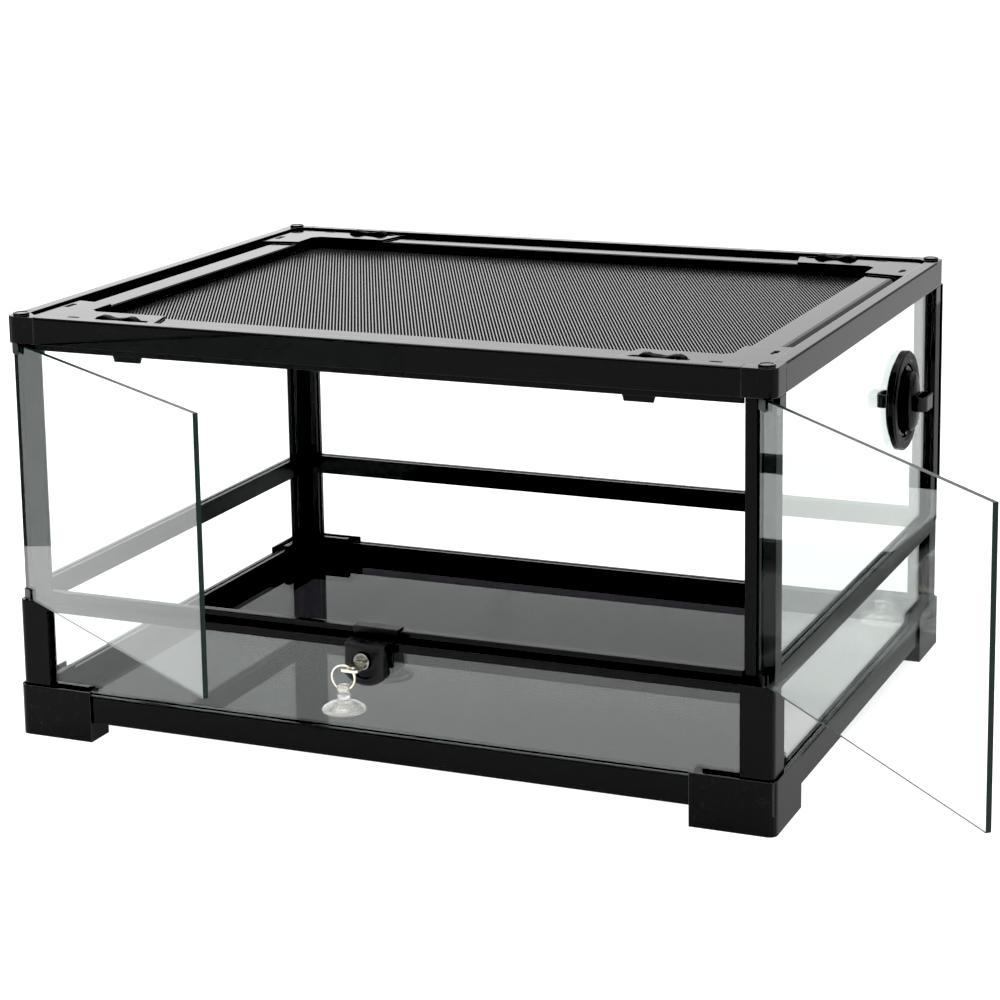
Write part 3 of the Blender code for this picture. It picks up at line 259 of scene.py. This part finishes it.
GLASS_GREEN = (0.24, 0.75, 0.50)
GREEN_DENSITY = 8.0
clear = sheet_glass("float_glass", (0.965, 0.985, 0.975), (0.93, 0.96, 0.945), {"IOR": 1.46})
green = clear.node("VolumeAbsorption", {}, {"Color": GLASS_GREEN, "Density": GREEN_DENSITY})
clear.tree.links.new(green.socket, clear.tree.nodes["Material Output"].inputs["Volume"])
# The base glass gets a dark grey tint and darker shadow rays: painted shade that stands for the shadowed
# floor under the tank, seen through the base. Its low IOR keeps its reflections faint.
BASE_GLASS_SHADE = (0.028, 0.0275, 0.0300)
shaded_base_glass = sheet_glass("base_glass_painted_shade", BASE_GLASS_SHADE, (0.50, 0.50, 0.51), {"IOR": 1.155})
ground = Finish("ground_glass_edge", {"IOR": 1.5, "Specular IOR Level": 0.22})
frosting = ground.noise(0.0015, (1, 1, 1), 3.0)
upward = ground.node("SeparateXYZ", {}, {0: ground.node("NewGeometry", output="Normal")}, "Z")
edge_green = ground.blend(frosting, (0.003, 0.009, 0.007), (0.007, 0.020, 0.015))
# Edges that face down get a lighter grey-green than the dark green of the others: a painted highlight.
ground.use(
    {
        "Base Color": ground.blend(ground.fade(upward, -0.8, -0.6), (0.10, 0.13, 0.12), edge_green),
        "Roughness": 0.22 + frosting * 0.25,
        "Normal": ground.bump(frosting, 0.00003, 0.4),
    }
)


def glaze(name, sheet):
    """Gives a pane its clear faces and its ground edges."""
    mesh = nodes[name].data
    mesh.materials.clear()
    mesh.materials.append(sheet.material)
    mesh.materials.append(ground.material)
    flat = max(mesh.polygons, key=lambda face: face.area).normal.copy()
    for face in mesh.polygons:
        face.material_index = 0 if abs(face.normal.dot(flat)) > 0.5 else 1


glaze("base_glass", shaded_base_glass)
for name in ("front_window", "left_door", "right_door"):
    glaze(name, clear)
for level in ("low", "upper"):
    for side in ("right", "back", "left"):
        glaze(f"{level}_pane_{side}", clear)

# Hinge clips
# Small folded steel clips, black plated, glued over the corners of each door.

plated = Finish("black_plated_steel", {"Specular IOR Level": 0.3})
plate_noise = plated.noise(0.002, (1, 1, 1), 4.0)
plated.use(
    {
        "Base Color": plated.blend(plate_noise, (0.006, 0.006, 0.007), (0.016, 0.016, 0.017)),
        "Roughness": 0.25 + plate_noise * 0.2,
        "Normal": plated.bump(plate_noise, 0.00002, 0.4),
    }
)
plated.paint(*(f"{side}_hinge_{level}" for side in ("left", "right") for level in ("lower", "upper")))

# Lock
# A moulded saddle clips over the sill and carries a sliding shield with a turned barrel in it.

satin = Finish("satin_black_moulding", {"IOR": 1.45, "Specular IOR Level": 0.28})
satin_grain = satin.noise(0.0007, (1, 1, 1), 3.0)
satin_cloud = satin.noise(0.012, (1, 1, 1), 3.0)
rounded = satin.node("Bevel", {"samples": 4}, {"Radius": 0.0004})
satin.use(
    {
        "Base Color": satin.blend(satin_cloud, (0.005, 0.005, 0.006), (0.012, 0.012, 0.013)),
        "Roughness": 0.26 + satin_cloud * 0.14,
        "Normal": satin.bump(satin_grain, 0.00004, 0.5, rounded),
    }
)
satin.paint("lock_base", "lock_slide", "port_plug", "port_grip")
chrome = Finish("nickel_plate", {"Metallic": 1.0})
rub = chrome.noise(0.004, (1, 1, 6), 5.0)
chrome.use(
    {
        "Base Color": chrome.blend(chrome.fade(rub, 0.35, 0.7), (0.70, 0.65, 0.54), (0.88, 0.84, 0.74)),
        "Roughness": 0.14 + rub * 0.18,
        "Normal": chrome.bump(rub, 0.00003, 0.4),
    }
)
chrome.paint("key", "key_ring")
turned = Finish("turned_steel", {"Metallic": 1.0})
turning = turned.noise(0.0006, (1, 1, 1), 3.0)
turned.use(
    {
        "Base Color": turned.blend(turning, (0.16, 0.155, 0.15), (0.34, 0.33, 0.31)),
        "Roughness": 0.16 + turning * 0.14,
        "Normal": turned.bump(turning, 0.00003, 0.5),
    }
)
turned.paint("lock_barrel")

# Suction cups
# Clear soft PVC, moulded in one piece, with a neck that the ring passes through.

CLEAR_RUBBER = (0.94, 0.93, 0.90)
rubber = Finish("clear_soft_rubber", {"Transmission Weight": 0.85, "IOR": 1.48, "Base Color": CLEAR_RUBBER})
rubber_cloud = rubber.noise(0.006, (1, 1, 1), 3.0)
rubber.use({"Roughness": 0.06 + rubber_cloud * 0.14, "Normal": rubber.bump(rubber_cloud, 0.0002, 0.3)})
rubber.paint("ring_cup", "spare_cup")

# Lid frame, latches and port flange
# The lid is four mitred extrusions with an L plate moulded over each corner. A dull black latch
# slides in each L plate. The flange is clamped through a hole in the right pane.

moulded.paint("lid_frame", "port_flange")
dull = Finish("dull_black_latch", {"IOR": 1.45, "Specular IOR Level": 0.06})
dull_grain = dull.noise(0.0008, (1, 1, 1), 3.0)
dull.use(
    {
        "Base Color": dull.blend(dull_grain, (0.004, 0.004, 0.004), (0.009, 0.009, 0.009)),
        "Roughness": 0.42 + dull_grain * 0.2,
        "Normal": dull.bump(dull_grain, 0.00005, 0.5),
    }
)
dull.paint(*(f"latch_{corner}" for corner in CORNERS))

# Latch thumb pieces
# Each latch carries a low ridged thumb piece, scooped in the middle, that slides over the L plate.

THUMB_LIFT = 0.0003
THUMB_WIDTH = 0.0080
THUMB_BEVEL = 0.0012
THUMB_DROP = 0.0010
THUMB_SHAPE = (
    (-0.0180, 0.0000),
    (-0.0168, 0.0018),
    (-0.0130, 0.0031),
    (-0.0085, 0.0028),
    (-0.0040, 0.0015),
    (0.0010, 0.0010),
    (0.0060, 0.0017),
    (0.0105, 0.0031),
    (0.0145, 0.0028),
    (0.0168, 0.0014),
    (0.0180, 0.0000),
)
for corner in CORNERS:
    latch_low, latch_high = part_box(f"latch_{corner}")
    middle = (Vector(latch_low) + Vector(latch_high)) / 2
    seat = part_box("lid_frame")[1][2] + THUMB_LIFT
    outward = 1 if corner.endswith("left") else -1
    half = THUMB_WIDTH / 2
    work = bmesh.new()
    rows = []
    inner = half - THUMB_BEVEL
    for across, drop in ((-half, THUMB_DROP), (-inner, 0.0), (inner, 0.0), (half, THUMB_DROP)):
        row = []
        for along, up in THUMB_SHAPE:
            rise = max(up - drop, 0.0)
            row.append(work.verts.new((middle.x + outward * along, middle.y + across, seat + rise)))
        rows.append(row)
    for near, far in zip(rows, rows[1:]):
        for k in range(len(THUMB_SHAPE) - 1):
            work.faces.new((near[k], near[k + 1], far[k + 1], far[k]))
    rim = [edge for edge in work.edges if edge.is_boundary]
    bmesh.ops.contextual_create(work, geom=rim)
    bmesh.ops.recalc_face_normals(work, faces=work.faces)
    mesh = bpy.data.meshes.new(f"thumb_{corner}")
    work.to_mesh(mesh)
    work.free()
    mesh.materials.append(dull.material)
    thumb = bpy.data.objects.new(f"thumb_{corner}", mesh)
    bpy.context.scene.collection.objects.link(thumb)
    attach(thumb, f"lid_latch_{corner}")

# Screen
# Black coated steel mesh, 2.5 mm from wire to wire and cut on the bias, held in the inner slot
# of the lid frame. The upper wires are flat and shiny. The cross wires under them get the dull latch finish,
# a painted shade that keeps them darker than the upper wires.

WARP_PITCH = 0.0025
WARP_WIDE = 0.0009
WEFT_PITCH = 0.0018
WEFT_WIDE = 0.0008
WIRE_TALL = 0.0006
WIRE_SETBACK = 0.0006
WIRE_TURN = 26
screen_low, screen_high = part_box("screen")
screen_middle = (Vector(screen_low) + Vector(screen_high)) / 2


def lay_wires(work, degrees, pitch, level, section, slot):
    """Parallel wires across the screen, each ending just inside the frame."""
    turn = math.radians(degrees)
    run = Vector((math.cos(turn), math.sin(turn), 0.0))
    side = Vector((-run.y, run.x, 0.0))
    reach = (Vector(screen_high) - Vector(screen_low)).length / 2
    for i in range(-int(reach / pitch), int(reach / pitch) + 1):
        start = screen_middle + side * (i * pitch)
        spans = []
        for axis in (0, 1):
            near = (screen_low[axis] + WIRE_SETBACK - start[axis]) / run[axis]
            far = (screen_high[axis] - WIRE_SETBACK - start[axis]) / run[axis]
            spans.append(sorted((near, far)))
        first, last = max(span[0] for span in spans), min(span[1] for span in spans)
        if last - first < 2 * pitch:
            continue
        ring = []
        for along in (first, last):
            for across, up in section:
                spot = start + run * along + side * across
                ring.append(work.verts.new((spot.x, spot.y, level + up)))
        faces = [work.faces.new(ring[:4]), work.faces.new(ring[4:])]
        for k in range(4):
            m = (k + 1) % 4
            faces.append(work.faces.new((ring[k], ring[m], ring[4 + m], ring[4 + k])))
        for face in faces:
            face.material_index = slot


work = bmesh.new()
warp, weft, tall = WARP_WIDE / 2, WEFT_WIDE / 2, WIRE_TALL / 2
flat_section = [(-warp, -tall), (warp, -tall), (warp, tall), (-warp, tall)]
edged_section = [(0, -tall), (weft, 0), (0, tall), (-weft, 0)]
lay_wires(work, 90 + WIRE_TURN, WARP_PITCH, screen_middle.z + tall * 0.9, flat_section, 0)
lay_wires(work, WIRE_TURN, WEFT_PITCH, screen_middle.z - tall * 0.9, edged_section, 1)
bmesh.ops.recalc_face_normals(work, faces=work.faces)
mesh = bpy.data.meshes.new("woven_screen")
work.to_mesh(mesh)
work.free()
screen_finish = Finish("black_coated_wire", {"IOR": 1.6})
wire_noise = screen_finish.noise(0.004, (1, 1, 1), 3.0)
screen_finish.use(
    {
        "Base Color": screen_finish.blend(wire_noise, (0.004, 0.004, 0.004), (0.010, 0.010, 0.010)),
        "Roughness": 0.16 + wire_noise * 0.14,
        "Normal": screen_finish.bump(wire_noise, 0.00003, 0.1),
    }
)
mesh.materials.append(screen_finish.material)
# Slot 1, the cross wires, takes the dull latch finish: painted shade that keeps them darker than the upper
# wires.
mesh.materials.append(dull.material)
woven = bpy.data.objects.new("woven_screen", mesh)
bpy.context.scene.collection.objects.link(woven)
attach(woven, "screen_lid")
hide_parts("screen")

# Floor and studio
# A white floor, an overhead soft box, and a wide white panel behind that the lid mirrors. The
# black card and the grey mat stand where the doors and the right side mirror them.

REACH = 40
FLOOR_GLOW = 1.02
floor_mesh = bpy.data.meshes.new("floor")
floor_corners = [(-REACH, -REACH, 0), (REACH, -REACH, 0), (REACH, REACH, 0), (-REACH, REACH, 0)]
floor_mesh.from_pydata(floor_corners, [], [(0, 1, 2, 3)])
floor = bpy.data.objects.new("floor", floor_mesh)
bpy.context.scene.collection.objects.link(floor)
paper = Finish("white_floor", {"Roughness": 0.9, "Specular IOR Level": 0.0, "Emission Strength": FLOOR_GLOW})
paper_cloud = paper.noise(0.5, (1, 1, 1), 2.0)
paper.use({"Base Color": paper.blend(paper_cloud, (0.34, 0.34, 0.34), (0.38, 0.38, 0.38))})
floor_mesh.materials.append(paper.material)


def soft_box(name, place, aim, wide, tall, power):
    light = bpy.data.lights.new(name, "AREA")
    light.shape = "RECTANGLE"
    light.size, light.size_y = wide, tall
    light.energy = power
    made = bpy.data.objects.new(name, light)
    made.location = place
    made.rotation_euler = (Vector(aim) - Vector(place)).to_track_quat("-Z", "Y").to_euler()
    bpy.context.scene.collection.objects.link(made)


soft_box("overhead", (0.3, 0.6, 2.6), (0.3, 0.25, 0.0), 2.4, 2.0, 45)


def reflected_card(name, corners, shade):
    """A card beside the tank that shows only in reflections."""
    mesh = bpy.data.meshes.new(name)
    mesh.from_pydata(corners, [], [(0, 1, 2, 3)])
    card = bpy.data.objects.new(name, mesh)
    bpy.context.scene.collection.objects.link(card)
    card.visible_camera = card.visible_diffuse = card.visible_transmission = False
    card.visible_volume_scatter = card.visible_shadow = False
    felt = Finish(name + "_felt", {"Roughness": 1.0, "Specular IOR Level": 0.0})
    felt.use({"Base Color": felt.blend(felt.noise(0.01), (shade * 0.9,) * 3, (shade,) * 3)})
    mesh.materials.append(felt.material)


CARD_X = -0.55
CARD_NEAR = 0.068
CARD_FAR = 0.70
CARD_TOP = 1.3
upright_card = [(CARD_X, CARD_NEAR, 0), (CARD_X, CARD_FAR, 0)]
upright_card += [(CARD_X, CARD_FAR, CARD_TOP), (CARD_X, CARD_NEAR, CARD_TOP)]
reflected_card("black_card", upright_card, 0.02)
MAT_LEFT = 0.62
MAT_RIGHT = 2.6
MAT_FRONT = 0.50
MAT_BACK = 4.5
MAT_LEVEL = 0.002
flat_mat = [(MAT_LEFT, MAT_FRONT, MAT_LEVEL), (MAT_RIGHT, MAT_FRONT, MAT_LEVEL)]
flat_mat += [(MAT_RIGHT, MAT_BACK, MAT_LEVEL), (MAT_LEFT, MAT_BACK, MAT_LEVEL)]
reflected_card("grey_mat", flat_mat, 0.60)


class Studio(Finish):
    """The white room round the tank. Mirrored, it is bright behind and overhead and dim in front."""

    def __init__(self):
        world = bpy.data.worlds.new("studio")
        bpy.context.scene.world = world
        world.use_nodes = True
        self.tree = world.node_tree
        self.shader = self.tree.nodes["Background"]


studio = Studio()
towards = studio.node("TexCoord", output="Generated")
height = studio.node("SeparateXYZ", {}, {0: towards}, "Z")
WALL_SIDE = (-0.62, 0.785, 0.0)
behind = studio.node("VectorMath", {"operation": "DOT_PRODUCT"}, {0: towards, 1: WALL_SIDE}, "Value")
lit_wall = studio.fade(behind, 0.75, 1.00) * studio.fade(height, 0.75, 0.40)
ceiling = studio.fade(height, 0.25, 0.80)
DIM_FRONT = 0.30
WALL_LIGHT = 1.8
CEILING_LIGHT = 1.35
WHITE_ROOM = 1.3
mirrored = DIM_FRONT + lit_wall * WALL_LIGHT + ceiling * CEILING_LIGHT
direct = studio.node("LightPath", output="Is Camera Ray")
through_glass = studio.node("LightPath", output="Is Transmission Ray")
seen = direct + through_glass
studio.use({"Color": (1.0, 1.0, 1.0), "Strength": mirrored * (1 - seen) + WHITE_ROOM * seen})
BLACK_LEVEL = 0.0135
view = bpy.context.scene.view_settings
view.view_transform = "Standard"
view.use_curve_mapping = True
view.curve_mapping.black_level = (BLACK_LEVEL,) * 3
view.curve_mapping.update()
